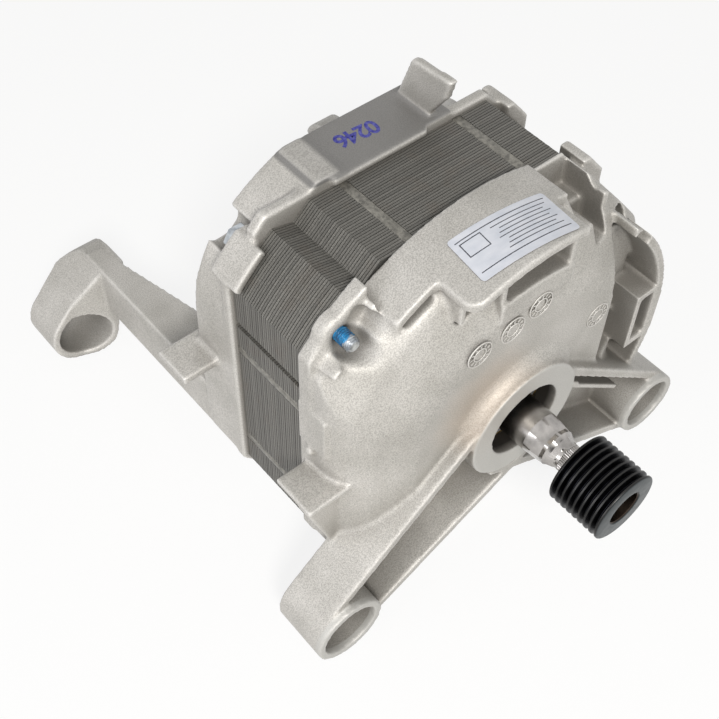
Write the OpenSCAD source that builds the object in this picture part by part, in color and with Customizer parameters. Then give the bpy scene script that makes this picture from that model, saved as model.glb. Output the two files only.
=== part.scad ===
// Washing machine drum motor: two die-cast end shields clamped on a laminated stator,
// a shaft in two ball bearings and a ribbed belt pulley. The shaft lies along Y and the
// pulley points to -Y. The origin is on the shaft's axis, in the middle of the belt run.

/* [Stator] */
// Half the width of the lamination stack across its side flats
stack_half_w = 63.5; // [62:0.5:66]
// Half the height of the lamination stack across its top and bottom flats
stack_half_h = 69; // [68:0.5:71]
// Radius of the stack's four corner lobes
lobe_r = 81.5; // [80.5:0.5:82.5]
// Length of the lamination stack along the shaft
stack_len = 32; // [28:0.5:36]
// Half the width of each outer flat between its corner recesses
flat_half = 35; // [33:0.5:37]
// Width of each V recess between the top flat and a corner lobe
recess_w = 6; // [5:0.5:7]
// Depth of each V recess
recess_d = 5.5; // [4:0.5:6.5]
// Where the two cut corners start on the side flats, from the shaft's height
chamfer_z = 36; // [34:0.5:38]
// Distance of each cleat strip from the middle of its flat
cleat_at = 23; // [20:0.5:26]
// Width of a cleat strip
cleat_w = 3.4; // [2:0.2:5]
// Depth of a cleat strip's groove
cleat_d = 1.6; // [1:0.1:2.4]
// Radius of the stator's bore
bore_r = 39; // [38:0.5:40]
// Number of stator slots
slots = 24; // [18:6:24]
// Radius at the bottom of the slots
slot_r = 56; // [53:0.5:57]
// Radius where the tooth tips end
tip_r = 41.5; // [41:0.5:43]
// Width of a slot
slot_w = 6; // [4:0.5:6.5]
// Width of a slot's mouth at the bore
mouth_w = 2.4; // [1.6:0.2:3]

/* [Winding] */
// Height of the winding's overhang at each end of the stack
overhang = 12; // [8:0.5:13]
// Inner radius of the winding's overhang
wind_in = 42.5; // [42:0.5:45]
// Outer radius of the winding's overhang
wind_out = 55.5; // [52:0.5:57]

/* [Rotor] */
// Air gap between the rotor and the stator's bore
air_gap = 0.4; // [0.3:0.05:0.6]
// Number of cage bars
bars = 28; // [22:2:32]
// Length of each cage end ring
ring_len = 6; // [4:0.5:7]
// Number of fan blades on each end ring
blades = 8; // [6:1:10]
// Length of a fan blade past its end ring
blade_len = 3; // [2:0.5:4]

/* [Shaft and pulley] */
// Radius of the shaft in the bearings
shaft_r = 7.5; // [7:0.25:8.5]
// Radius of the knurled neck that carries the pulley
neck_r = 5; // [4.5:0.25:5.5]
// Length of the knurled neck that shows behind the pulley
neck_show = 4.5; // [3:0.5:7]
// Length of the cone from the shaft down to the neck
cone_len = 5; // [3:0.5:7]
// Crest radius of the ribbed pulley
pulley_r = 12.5; // [12:0.1:14]
// Pitch of the pulley's grooves
groove_pitch = 2.34; // [2:0.02:2.6]
// Number of grooves on the pulley
grooves = 8; // [6:1:9]
// Depth of a groove
groove_d = 1.7; // [1.2:0.1:2]
// Width of the plain rim beside the last groove at each end
rim_w = 0.6; // [0.4:0.1:1.5]
// Radius of the recess in the pulley's front face
pulley_hole_r = 6; // [5.6:0.1:7]
// Depth of the recess in the pulley's front face
pulley_hole_d = 9; // [6:0.5:11]

/* [Bearings] */
// Outer radius of each ball bearing
bearing_r = 17.5; // [16.5:0.25:18.5]
// Width of each ball bearing
bearing_w = 11; // [10:0.5:12]
// Radius of a bearing ball
ball_r = 2.9; // [2.6:0.1:3]
// Number of balls in each bearing
balls = 8; // [7:1:9]

/* [Front shield] */
// Distance from the middle of the belt run to the hub's front face
hub_y = 32.8; // [31:0.2:38]
// Outer radius of the front hub ring
hub_r = 22.6; // [22:0.2:24]
// Radius of the opening in the front hub ring
hub_open_r = 14.1; // [13:0.1:15]
// Distance from the hub's front face to the stack
shield_y = 34; // [33:0.5:37]
// Thickness of the cast walls
wall = 3.2; // [2.6:0.1:3.6]
// Distance from the hub's front face to the domed disc's face
dome_y = 6; // [5:0.5:7]
// Radius of the disc's flat face
disc_flat_r = 44; // [42:0.5:46]
// Radius of the bend between the disc's face and its sloping shoulder
disc_round = 30; // [24:1:34]
// Radius of the shoulder's outer edge
shoulder_r = 70; // [69:0.5:71]
// Slope of the shoulder in degrees
shoulder_slope = 26.5; // [24:0.5:28]
// Depth of the webs in the legs behind the hub's front face
web_y = 15.5; // [14:0.5:16.5]
// Depth of the pockets beside the disc behind the hub's front face
pocket_y = 17; // [15:0.5:18]
// Distance of the disc's cut right flank from the shaft
disc_cut_x = 42; // [41:0.5:44]
// Outer radius of the front shield's rim
rim_r = 70; // [69:0.5:71]
// Radius of the label band over the top
band_r = 76; // [75.5:0.5:77]
// Distance from the hub's front face to the side pads
pad_y = 21.3; // [20:0.5:24]
// How far the side ledges stand out from the body
ledge_out = 13; // [9:0.5:15]
// Thickness of the side ledges
ledge_t = 2.2; // [1.8:0.2:3]
// Height of the front ledges above the shaft
ledge_z = 3; // [0:0.5:6]

/* [Rear shield] */
// Length of the rear bell from the stack to its rear rim
bell_len = 19; // [18:0.5:21]
// Radius of the rear bell
bell_r = 79; // [78.5:0.5:80]
// Height of the flat on the bell's top above the shaft
bell_top = 72; // [71.5:0.5:74]
// Depth of the bulged back behind the bell's rim
dish = 5; // [4:0.5:6]
// Height of the rear ledges above the shaft
rear_ledge_z = 9; // [6:0.5:11]

/* [Mounting bosses] */
// Sideways distance of each mounting boss from the shaft
boss_x = 73.3; // [71:0.1:76]
// Distance of the mounting bosses below the shaft
boss_z = 52.2; // [50:0.1:54]
// Bore radius of the mounting bosses
boss_bore = 10.4; // [10:0.1:11]
// Outer radius of the mounting bosses
boss_r = 13.2; // [12.8:0.1:14]
// Length of the front bosses
boss_len = 21.8; // [20:0.1:24]
// How far the front bosses stand before the hub's front face
boss_front = 2; // [0:0.1:3]
// Distance from the hub's front face to the rear bosses' front faces
rear_boss_y = 163; // [160:0.5:166]
// Length of the rear bosses
rear_boss_len = 19; // [17:0.5:21]
// Height of the rear arms' top face below the shaft
arm_top = 20; // [18:0.5:22]
// Height of the rear arms' side walls
arm_h = 22; // [18:0.5:24]
// Outer side of the rear arms from the shaft
arm_x = 63; // [61:0.5:64.5]

/* [Clamp bolts] */
// Sideways distance of the upper left clamp bolt from the shaft
bolt_x = 53; // [52:0.25:54]
// Height of the upper left clamp bolt above the shaft
bolt_z = 56; // [55:0.25:57]
// Distance of the upper right clamp bolt from the shaft's two centre planes
high_bolt = 47; // [46.5:0.25:48]
// Sideways distance of the two lower clamp bolts from the shaft
low_bolt_x = 41; // [40:0.25:41.5]
// Distance of the two lower clamp bolts below the shaft
low_bolt_z = 56.5; // [56:0.25:57]
// Radius of a clamp bolt
bolt_r = 2.5; // [2:0.1:3]
// Width across the flats of a nut
nut_af = 8; // [7:0.5:9]
// Thickness of a nut
nut_t = 4.2; // [3.5:0.1:5]

/* [Fittings] */
// Length of the rating label along its arc
label_len = 34; // [28:1:36]
// Width of the rating label along the shaft
label_w = 17; // [14:0.5:18]
// Number of terminal pins
pins = 5; // [3:1:6]
// Width of the connection block
block_w = 24; // [22:0.5:26]
// Height of the connection block
block_h = 13; // [12:0.5:14]
// How far the connection block stands out behind the bell
block_len = 18; // [16:0.5:20]
// Wall of the connection block and the end of the sensor cap
shell_t = 1.4; // [1.2:0.1:1.8]
// Outer radius of the sensor cap
cap_r = 17; // [16.5:0.25:18]
// Length of the sensor cap
cap_len = 13; // [12:0.5:14]

/* [Hidden] */
$fn = 96;
fit = 0.05;
gap = 0.3;
eps = 0.01;
cast = [0.76, 0.74, 0.71];
stack_y0 = shield_y;
stack_y1 = shield_y + stack_len;
bell_y1 = stack_y1 + bell_len;
seat_y = 8;
fb_y0 = seat_y;
fb_y1 = fb_y0 + bearing_w;
rb_y0 = bell_y1 - 1;
rb_y1 = rb_y0 + bearing_w;
washer_t = 1.8;
back_y = rb_y1 + washer_t + 2 * gap;
hub_back = back_y + 3;
neck_y = -hub_y + (grooves * groove_pitch / 2 + rim_w) + neck_show;
pulley_y0 = -hub_y - grooves * groove_pitch / 2 - rim_w;
pulley_y1 = -hub_y + grooves * groove_pitch / 2 + rim_w;
rotor_r = bore_r - air_gap;
pitch_r = (shaft_r + bearing_r) / 2;
cavity_r = 58.8;
side_w = stack_half_w + 1;
magnet_r = shaft_r + 1.5;
bell_w = stack_half_w + 1.5;
term_x0 = 24;
term_z0 = 20;
bolt_spots = [[-bolt_x, bolt_z], [high_bolt, high_bolt], [low_bolt_x, -low_bolt_z], [-low_bolt_x, -low_bolt_z]];
lug_front = shield_y - 5.5;
lug_rear = stack_y1 + 8;

// Helpers: everything is drawn from the hub's front face and moved to the belt run at the end.
module place() {
    translate([0, hub_y, 0]) children();
}

module ycyl(r, y0, y1) {
    translate([0, y1, 0]) rotate([90, 0, 0]) cylinder(r = r, h = y1 - y0);
}

module slab(y0, y1) {
    translate([0, y1, 0]) rotate([90, 0, 0]) linear_extrude(y1 - y0) children();
}

module yrev() {
    rotate([-90, 0, 0]) rotate_extrude() children();
}

module box(x0, x1, y0, y1, z0, z1) {
    translate([x0, y0, z0]) cube([x1 - x0, y1 - y0, z1 - z0]);
}

module both() {
    children();
    mirror([1, 0, 0]) children();
}

module corners() {
    for (p = bolt_spots) translate([p[0], 0, p[1]]) children();
}

// Quarter fillet for profiles, in the inner corner at (0, 0) with its arms along +x and +y.
module fillet(r) {
    difference() {
        square(r);
        translate([r, r]) circle(r = r, $fn = 48);
    }
}

// Half of the stack's outline: a round lobe beyond a V recess above, a cut corner below.
module half_outline(grow, recess) {
    w = stack_half_w + grow;
    h = stack_half_h + grow;
    intersection() {
        circle(r = lobe_r + grow);
        polygon([
            [0, h], [-flat_half, h], [-flat_half - recess_w, h - recess], [-w, h],
            [-w, -chamfer_z - grow / 2], [-flat_half - 1 - grow / 2, -h], [0, -h]]);
    }
}

// The two halves are alike when the stack is turned half a turn.
module stack_outline(grow, recess = recess_d) {
    half_outline(grow, recess);
    rotate(180) half_outline(grow, recess);
}

module stator_core() {
    color([0.36, 0.36, 0.35]) place() difference() {
        slab(stack_y0, stack_y1) difference() {
            stack_outline(0);
            circle(r = bore_r);
            for (i = [0 : slots - 1]) rotate(i * 360 / slots) {
                translate([tip_r, -slot_w / 2]) square([slot_r - slot_w / 2 - tip_r, slot_w]);
                translate([slot_r - slot_w / 2, 0]) circle(d = slot_w, $fn = 24);
                translate([bore_r - 1, -mouth_w / 2]) square([tip_r - bore_r + 2, mouth_w]);
            }
            cleat_grooves(0);
            for (p = bolt_spots) translate(p) circle(r = bolt_r + gap, $fn = 32);
            for (s = [-1, 1]) translate([s * stack_half_w, -s * flat_half]) square([4, 2.4], center = true);
        }
    }
}

// The weld strips lie in shallow grooves, two on each outer flat.
module cleat_grooves(inset) {
    for (s = [-1, 1], t = [-1, 1]) {
        translate([s * cleat_at, t * (stack_half_h - cleat_d / 2 + 0.5)])
            square([cleat_w - 2 * inset, cleat_d + 1], center = true);
        translate([t * (stack_half_w - cleat_d / 2 + 0.5), s * cleat_at])
            square([cleat_d + 1, cleat_w - 2 * inset], center = true);
    }
}

module cleat_strips() {
    color([0.5, 0.5, 0.48]) place() slab(stack_y0, stack_y1) {
        for (s = [-1, 1], t = [-1, 1]) {
            translate([s * cleat_at, t * (stack_half_h - cleat_d / 2)])
                square([cleat_w, cleat_d], center = true);
            translate([t * (stack_half_w - cleat_d / 2), s * cleat_at])
                square([cleat_d, cleat_w], center = true);
        }
    }
}

// Three-phase winding: rounded overhangs joined by the coil sides in the slots.
module stator_winding() {
    side_w = slot_w - 2 * gap;
    color([0.62, 0.3, 0.14]) place() {
        for (e = [[stack_y0 - overhang, stack_y0 - 1], [stack_y1 + 1, stack_y1 + overhang]])
            yrev() polygon([
                [wind_in, e[0] + 3], [wind_in + 3, e[0]], [wind_out - 3, e[0]], [wind_out, e[0] + 3],
                [wind_out, e[1] - 1], [wind_out - 1, e[1]], [wind_in + 1, e[1]], [wind_in, e[1] - 1]]);
        slab(stack_y0 - 3, stack_y1 + 3) for (i = [0 : slots - 1]) rotate(i * 360 / slots)
            translate([wind_in + 0.5, -side_w / 2])
                square([slot_r - slot_w / 2 - wind_in - 0.5, side_w]);
    }
}

module thermal_protector() {
    color([0.9, 0.88, 0.8]) place() translate([0, stack_y1 + overhang, (wind_in + wind_out) / 2])
        translate([-7, 0, -3.5]) cube([14, 4, 7]);
}

module rotor_core() {
    color([0.42, 0.42, 0.41]) place() slab(stack_y0 + 1, stack_y1 - 1) difference() {
        circle(r = rotor_r);
        circle(r = shaft_r);
        for (i = [0 : bars - 1]) rotate(i * 360 / bars) translate([rotor_r - 4.2, 0]) circle(r = 2.2, $fn = 16);
    }
}

// Die-cast squirrel cage: bars through the core, an end ring at each face and fan blades.
module rotor_cage() {
    color([0.72, 0.72, 0.71]) place() {
        slab(stack_y0 + 1, stack_y1 - 1) for (i = [0 : bars - 1]) rotate(i * 360 / bars)
            translate([rotor_r - 4.2, 0]) circle(r = 2.2, $fn = 16);
        for (e = [stack_y0 + 1 - ring_len, stack_y1 - 1])
            slab(e, e + ring_len) difference() {
                circle(r = rotor_r - 1);
                circle(r = rotor_r - 12);
            }
        for (i = [0 : blades - 1]) rotate([0, i * 360 / blades, 0]) {
            box(rotor_r - 10, rotor_r - 3, stack_y0 + 1 - ring_len - blade_len, stack_y0 + 2 - ring_len, -1, 1);
            box(rotor_r - 10, rotor_r - 3, stack_y1 - 2 + ring_len, stack_y1 - 1 + ring_len + blade_len, -1, 1);
        }
    }
}

// Shaft: plain in the bearings, then a cone down to the knurled neck inside the pulley.
module shaft() {
    color([0.8, 0.8, 0.8]) place() {
        yrev() polygon([
            [0, pulley_y0 + pulley_hole_d + gap], [neck_r - 0.5, pulley_y0 + pulley_hole_d + gap],
            [neck_r, pulley_y0 + pulley_hole_d + 0.5 + gap], [neck_r, neck_y],
            [shaft_r, neck_y + cone_len], [shaft_r, rb_y1 + 1],
            [shaft_r - 1.5, rb_y1 + 2], [shaft_r - 1.5, hub_back + cap_len - 3],
            [shaft_r - 2, hub_back + cap_len - 2.5], [0, hub_back + cap_len - 2.5]]);
    }
}

// Ribbed belt pulley: eight V grooves between two plain rims, pressed on the neck.
module pulley() {
    g0 = -hub_y - grooves * groove_pitch / 2;
    half = groove_pitch / 2 - 0.25;
    flat = 0.2;
    color([0.1, 0.1, 0.11]) place() yrev() difference() {
        polygon([
            [neck_r, pulley_y0 + pulley_hole_d], [pulley_hole_r, pulley_y0 + pulley_hole_d],
            [pulley_hole_r, pulley_y0 + 0.6], [pulley_hole_r + 0.6, pulley_y0],
            [pulley_r - 0.5, pulley_y0], [pulley_r, pulley_y0 + 0.4],
            [pulley_r, pulley_y1 - 0.4], [pulley_r - 0.5, pulley_y1], [neck_r, pulley_y1]]);
        for (i = [0 : grooves - 1]) translate([pulley_r, g0 + (i + 0.5) * groove_pitch])
            polygon([[0.2, -half - 0.08], [-groove_d, -flat], [-groove_d, flat], [0.2, half + 0.08]]);
    }
}

// Ball bearing parts: the rings' raceways follow the balls with a small clearance.
module race(r0, r1, y0) {
    yrev() difference() {
        translate([r0, y0]) square([r1 - r0, bearing_w]);
        translate([pitch_r, y0 + bearing_w / 2]) circle(r = ball_r + 0.12, $fn = 48);
        for (e = [y0 - 1, y0 + bearing_w - 1])
            translate([pitch_r - 2.4, e]) square([4.8, 2]);
    }
}

module bearing_outer(y0) {
    color([0.68, 0.68, 0.69]) place() race(pitch_r + 1.7, bearing_r - fit, y0);
}

module bearing_inner(y0) {
    color([0.68, 0.68, 0.69]) place() race(shaft_r, pitch_r - 1.7, y0);
}

module bearing_balls(y0) {
    color([0.85, 0.85, 0.86]) place() for (i = [0 : balls - 1]) rotate([0, i * 360 / balls, 0])
        translate([pitch_r, y0 + bearing_w / 2, 0]) sphere(r = ball_r, $fn = 32);
}

module bearing_cage(y0) {
    color([0.75, 0.62, 0.35]) place() difference() {
        yrev() translate([pitch_r - 1.2, y0 + bearing_w / 2 - 3.6]) square([2.4, 7.2]);
        for (i = [0 : balls - 1]) rotate([0, i * 360 / balls, 0])
            translate([pitch_r - 3, y0 + bearing_w / 2, 0]) rotate([0, 90, 0])
                cylinder(r = ball_r + 0.12, h = 6, $fn = 48);
    }
}

module wave_washer() {
    color([0.6, 0.6, 0.6]) place() yrev()
        translate([bearing_r - 4, rb_y1 + gap]) square([3.4, washer_t]);
}

// Four long threaded rods run through the lobes: their front ends stand out of the front lugs
// that they are screwed into, and a nut on each rear lug pulls the shields together.
module clamp_bolts() {
    color([0.55, 0.58, 0.62]) place() corners() ycyl(bolt_r, lug_front - 5.3, lug_rear + nut_t + 1.5);
}

module bolt_nuts() {
    color([0.62, 0.62, 0.64]) place() corners() difference() {
        ycyl(nut_af / sqrt(3), lug_rear, lug_rear + nut_t, $fn = 6);
        ycyl(bolt_r, lug_rear - 1, lug_rear + nut_t + 1);
    }
}

// Front shield: domed disc, hub, rim with pockets, label band, lugs, ledges and two legs.
module dome_body(inset, side, skirt) {
    y = dome_y + inset;
    c = disc_round - inset;
    a = shoulder_slope;
    ex = disc_flat_r + c * sin(a);
    ey = y + c * (1 - cos(a));
    sy = ey + (side - ex) * tan(a);
    yrev() {
        translate([0, y]) square([disc_flat_r, shield_y - y + inset]);
        intersection() {
            translate([disc_flat_r, y + c]) circle(r = c, $fn = 180);
            translate([disc_flat_r - 1, y]) square([ex - disc_flat_r + 1, shield_y - y + inset]);
        }
        polygon([[ex - 1, ey], [ex, ey], [side - 1.5, sy - 1.5 * tan(a)], [side, sy + 0.4],
            [side + skirt, sy + 1 + skirt], [side + skirt, shield_y + inset], [ex - 1, shield_y + inset]]);
    }
}

function tangent(c0, r0, c1, r1, side) =
    let (d = norm(c1 - c0), base = atan2(c1[1] - c0[1], c1[0] - c0[0]), a = base + side * acos((r0 - r1) / d))
    [c0 + r0 * [cos(a), sin(a)], c1 + r1 * [cos(a), sin(a)]];

// Plan of a leg, seen along the shaft: the lines that touch the hub and the boss.
leg_end = [boss_x, -boss_z];
leg_up = tangent([0, 0], hub_r - 2, leg_end, boss_r, 1);

module leg_plan(grow) {
    up = tangent([0, 0], hub_r - 2 + grow, leg_end, boss_r + grow, 1);
    lo = tangent([0, 0], hub_r + 3 + grow, leg_end, boss_r + grow, -1);
    polygon([up[0], up[1], lo[1], lo[0], [-2, 0]]);
}

// Everything below the two legs' upper flanges.
module under_legs(grow) {
    n = [-(leg_up[1] - leg_up[0])[1], (leg_up[1] - leg_up[0])[0]] / norm(leg_up[1] - leg_up[0]);
    u0 = leg_up[0] + n * grow;
    u1 = leg_up[1] + n * grow;
    polygon([[-u0[0], u0[1]], [0, 0], [u0[0], u0[1]], [u1[0], u1[1]], [u1[0], -90], [-u1[0], -90], [-u1[0], u1[1]]]);
}

module arch(r, y0, x0, x1) {
    intersection() {
        slab(y0, shield_y) difference() {
            circle(r = r);
            circle(r = r - wall);
        }
        box(x0, x1, y0 - 1, shield_y + 1, 40, 90);
    }
}

// An ear wraps over the stack's upper left lobe, and one over its cut upper right corner.
module left_ear(y0, y1) {
    intersection() {
        slab(y0, y1) difference() {
            circle(r = lobe_r + 3.2);
            circle(r = lobe_r + gap);
        }
        rotate([0, 44, 0]) box(-90, -50, y0, y1, -7.5, 7.5);
    }
}

module right_ear(y0, y1) {
    slab(y0, y1) intersection() {
        difference() {
            stack_outline(5);
            stack_outline(gap);
        }
        translate([42, 50]) square([10.5, 16]);
    }
}

module front_leg_shapes() {
    leg_y1 = boss_len - boss_front;
    d = (leg_up[1] - leg_up[0]) / norm(leg_up[1] - leg_up[0]);
    n = [d[1], -d[0]];
    slab(0.8, leg_y1) difference() {
        leg_plan(0);
        leg_plan(-wall - 0.2);
    }
    // Thin rib inside the trough, along the upper flange.
    slab(4, web_y + 1) polygon([
        leg_up[0] + 8 * n - 4 * d, leg_up[0] + 8 * n + 32 * d, leg_up[0] + 10 * n + 32 * d, leg_up[0] + 10 * n - 4 * d]);
    slab(web_y, web_y + wall) leg_plan(-0.5);
    translate([boss_x, 0, -boss_z]) ycyl(boss_r, -boss_front, leg_y1);
}

module front_body() {
    // Domed disc on its flange, cut back to the webs below and to the pockets on the right.
    difference() {
        union() {
            slab(lug_front, shield_y) difference() {
                stack_outline(1.2, 1);
                translate([-flat_half - 8, band_r - 20]) square([2 * flat_half + 16, 40]);
            }
            intersection() {
                dome_body(0, shoulder_r, 9);
                slab(0, shield_y) stack_outline(0.6, 1);
                // Both flanks of the disc are rounded off towards the side walls.
                translate([0, 0, -90]) linear_extrude(180) both() polygon([
                    [0, 5], [38, 5], [48, 8], [55, 11], [side_w - 4.5, 15], [side_w - 1.5, 19],
                    [side_w, 24], [side_w, 40], [0, 40]]);
            }
        }
        slab(-1, web_y) difference() {
            under_legs(-0.5);
            circle(r = hub_r);
        }
        box(disc_cut_x, 90, -1, pocket_y, -12, 90);
        // Nothing of the body stands above the label band.
        slab(-1, shield_y + 1) difference() {
            translate([-44, 40]) square([66, 60]);
            circle(r = band_r - 1);
        }
        // Groove between the disc and the label band.
        intersection() {
            slab(-1, 20) difference() {
                circle(r = band_r - wall);
                circle(r = 61);
            }
            box(-26, 16, -2, 30, 30, 90);
        }
    }
    // Rim wall on the right with its box pocket and ribs.
    intersection() {
        slab(5, shield_y) difference() {
            circle(r = rim_r);
            circle(r = rim_r - wall);
        }
        box(43, 80, 0, 60, -32, 80);
    }
    box(56, 68, 5, 25, -12, 14);
    // Label band over the top, rounded at its front corner, with ribs down to the disc.
    difference() {
        arch(band_r, 3, -28.5, 16);
        translate([-28.5, 3, 60]) difference() {
            translate([-1, -1, 0]) cube([6, 6, 20]);
            translate([5, 5, -1]) cylinder(r = 5, h = 22);
        }
    }
    intersection() {
        arch(band_r, 17.5, -43.2, 22);
        slab(0, shield_y) circle(r = band_r);
    }
    for (x = [-13, 15]) box(x, x + 2, 7, 30, 57, band_r - 4);
    box(-27, -25, 9, 30, 58, band_r - 6);
    // Stub wall beside the band and the plate that joins it to the disc.
    box(37.8, 40.2, 16, shield_y, 50, 64);
    slab(16, 18.6) polygon([[40.2, 64], [34, 66], [25, 60], [25, 52], [40.2, 50]]);
    // Lugs for the clamp bolts and the ear over the stack's corner.
    corners() ycyl(7.4, lug_front, shield_y);
    right_ear(lug_front, shield_y + 5);
    // Side pads and ledges with the gusset plates under them.
    both() {
        box(56, stack_half_w + 1.6, pad_y, shield_y, 13, 31);
        box(56, stack_half_w + 0.8, 24, shield_y, -chamfer_z, chamfer_z);
        box(stack_half_w - 12, stack_half_w + ledge_out, 14.5, 31, ledge_z - ledge_t, ledge_z);
        slab(18, 20.4) polygon([
            [stack_half_w + ledge_out, ledge_z - ledge_t], [66, -28], [60, -40], [52, -40], [52, ledge_z - ledge_t]]);
        translate([stack_half_w + 1.6, 28.5, 11]) rotate([0, 90, 0]) cylinder(r = 1.6, h = 2.4, center = true, $fn = 32);
    }
    // Hub with its blend into the disc.
    ycyl(hub_r, 0, fb_y1 + 2);
    difference() {
        yrev() translate([hub_r - eps, dome_y + eps]) mirror([0, 1]) fillet(5);
        slab(-1, web_y) under_legs(-2);
    }
    both() front_leg_shapes();
}

module front_shield() {
    color(cast) place() difference() {
        front_body();
        // Winding chamber, bearing seat and opening.
        difference() {
            dome_body(wall, cavity_r, 0);
            ycyl(hub_r, 0, fb_y1 + 2);
            slab(0, web_y + wall) under_legs(wall);
            box(disc_cut_x - wall, 90, 0, pocket_y + wall, -40, 90);
            both() box(disc_flat_r + 2, 90, 0, dome_y + 12.5, -90, 90);
        }
        ycyl(hub_open_r, -1, seat_y + 1);
        ycyl(bearing_r, seat_y, fb_y1 + 3);
        // Bolt holes with their nut recesses, boss bores and the box pocket's window.
        corners() {
            ycyl(bolt_r + gap, lug_front - 20, shield_y + 1);
            ycyl(5.4, 1, lug_front);
        }
        both() translate([boss_x, 0, -boss_z]) ycyl(boss_bore, -boss_front - 1, boss_len + 1);
        box(58.6, 64.8, 2, 20, -9.5, 11.5);
    }
}

// Rear shield: bell, back with the bearing hub, ledges and two arms with bosses.
module bell_outline() {
    intersection() {
        circle(r = bell_r);
        polygon([[-bell_w, bell_top + 1], [-24, bell_top + 1], [-20, bell_top], [21, bell_top], [44, 52],
            [bell_w, 33], [bell_w, -50], [40, -70], [-36, -70], [-bell_w, -chamfer_z]]);
        union() {
            translate([45.2 - bell_w, 28.8]) circle(r = 45.2);
            translate([-31, -80]) square([110, 160]);
            translate([-bell_w, -80]) square([60, 111]);
        }
    }
}

module rear_arm() {
    end_y = rear_boss_y + 6;
    back_end = rear_boss_y + rear_boss_len;
    front_y = rear_boss_y - 5;
    z0 = -arm_top - arm_h;
    // Channel that runs back from the bell.
    difference() {
        translate([0, 0, z0]) linear_extrude(arm_h)
            polygon([[arm_x, 70], [arm_x, end_y], [arm_x - 6, end_y], [46, 120], [44, 70]]);
        translate([0, 0, z0 - 1]) linear_extrude(arm_h + 1 - wall)
            polygon([[arm_x - wall, 60], [arm_x - wall, front_y], [arm_x - 8, front_y], [46 + wall, 120], [44 + wall, 60]]);
    }
    // Web across to the boss: slanted in front, rounded at its upper rear edge.
    intersection() {
        slab(front_y, back_end) arm_web();
        translate([0, 0, -90]) linear_extrude(90) polygon([
            [44, front_y], [arm_x, front_y], [boss_x + 3, rear_boss_y], [95, rear_boss_y], [95, back_end], [44, back_end]]);
        translate([40, 0, 0]) rotate([90, 0, 90]) linear_extrude(60) {
            polygon([[front_y - 1, -80], [back_end + 1, -80], [back_end + 1, -arm_top - 12], [back_end - 1, -arm_top - 8],
                [back_end - 4, -arm_top - 4], [back_end - 8, -arm_top - 1.2], [end_y - 2, -arm_top], [front_y - 1, -arm_top]]);
        }
    }
}

module arm_web() {
    c = [arm_x - 2, -arm_top - 2];
    t1 = tangent(c, 1.95, leg_end, boss_r - 0.06, 1);
    t0 = tangent([arm_x - 5, -arm_top - 5], 5, leg_end, boss_r - 0.06, -1);
    polygon([t1[0], t1[1], t0[1], t0[0]]);
    polygon([[arm_x - 10, -arm_top], t1[0], t0[0]]);
    translate(leg_end) circle(r = boss_r);
    translate(c) circle(r = 2, $fn = 32);
}

module rear_body() {
    slab(stack_y1, bell_y1) bell_outline();
    // Flange over the stack's corners, with a bead along the top edge.
    slab(stack_y1, stack_y1 + 4) {
        stack_outline(1.8, 0);
        polygon([[-30, 55], [-30, stack_half_h + 2], [-50.5, stack_half_h + 2], [-55, 66], [-50, 55]]);
    }
    slab(stack_y1 - 1.6, stack_y1 + 2) translate([-26, stack_half_h + gap]) square([36, 2.6]);
    left_ear(stack_y1 - 4.5, stack_y1 + 8);
    right_ear(stack_y1 - 4.5, stack_y1 + 8);
    corners() ycyl(7.4, stack_y1, lug_rear);
    // Bulged back with the bearing hub.
    intersection() {
        yrev() polygon([[0, bell_y1 - 3], [bell_r, bell_y1 - 3], [bell_r - 0.5, bell_y1], [58, bell_y1 + dish * 0.7],
            [46, bell_y1 + dish], [0, bell_y1 + dish]]);
        slab(bell_y1 - 4, bell_y1 + dish + 1) bell_outline();
    }
    ycyl(hub_r, rb_y0 - 2, hub_back);
    // Ridge and upright cable tab on the top.
    slab(stack_y1, bell_y1 - 1) translate([-31, bell_top - 0.4]) circle(r = 1.6, $fn = 32);
    translate([15.5, 0, 0]) rotate([90, 0, 90]) linear_extrude(3, center = true)
        polygon([
            [bell_y1 - 1, cavity_r + 2], [bell_y1 - 1, bell_top - 1], [bell_y1 - 7.1, bell_top + 15.9],
            [stack_y1 - 5.5, bell_top + 17.3], [stack_y1 - 3.7, bell_top + 10.4],
            [stack_y1 + 2.8, bell_top + 1], [stack_y1 + 2.8, cavity_r + 2]]);
    both() {
        box(stack_half_w - 4, stack_half_w + ledge_out + 2, 75.7, 91, rear_ledge_z - 3, rear_ledge_z);
        rear_arm();
    }
}

module rear_shield() {
    color(cast) place() difference() {
        rear_body();
        // Winding chamber, bearing seat and the shaft's passage.
        difference() {
            ycyl(cavity_r, stack_y1 - 9, bell_y1 + dish - wall);
            ycyl(hub_r, rb_y0 - 2, hub_back);
        }
        ycyl(bearing_r, rb_y0 - 3, back_y);
        ycyl(shaft_r + 1.5, back_y - 1, hub_back + 1);
        corners() {
            ycyl(bolt_r + gap, stack_y1 - 9, lug_rear + 1);
            ycyl(6.2, lug_rear, lug_rear + 40);
        }
        both() translate([boss_x, 0, -boss_z]) ycyl(boss_bore, rear_boss_y - 10, rear_boss_y + rear_boss_len + 1);
    }
}

// Speed sensor behind the rear bearing: a ring magnet on the shaft, a coil and a cap.
module tacho_magnet() {
    color([0.2, 0.2, 0.21]) place() difference() {
        ycyl(magnet_r, hub_back + 3, hub_back + cap_len - 4);
        ycyl(shaft_r - 1.5, hub_back + 2, hub_back + 10);
    }
}

module tacho_coil() {
    color([0.85, 0.84, 0.8]) place() difference() {
        ycyl(cap_r - 2.5, hub_back + 1.2, hub_back + cap_len - 3);
        ycyl(magnet_r + 0.8, hub_back, hub_back + cap_len);
    }
}

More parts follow.
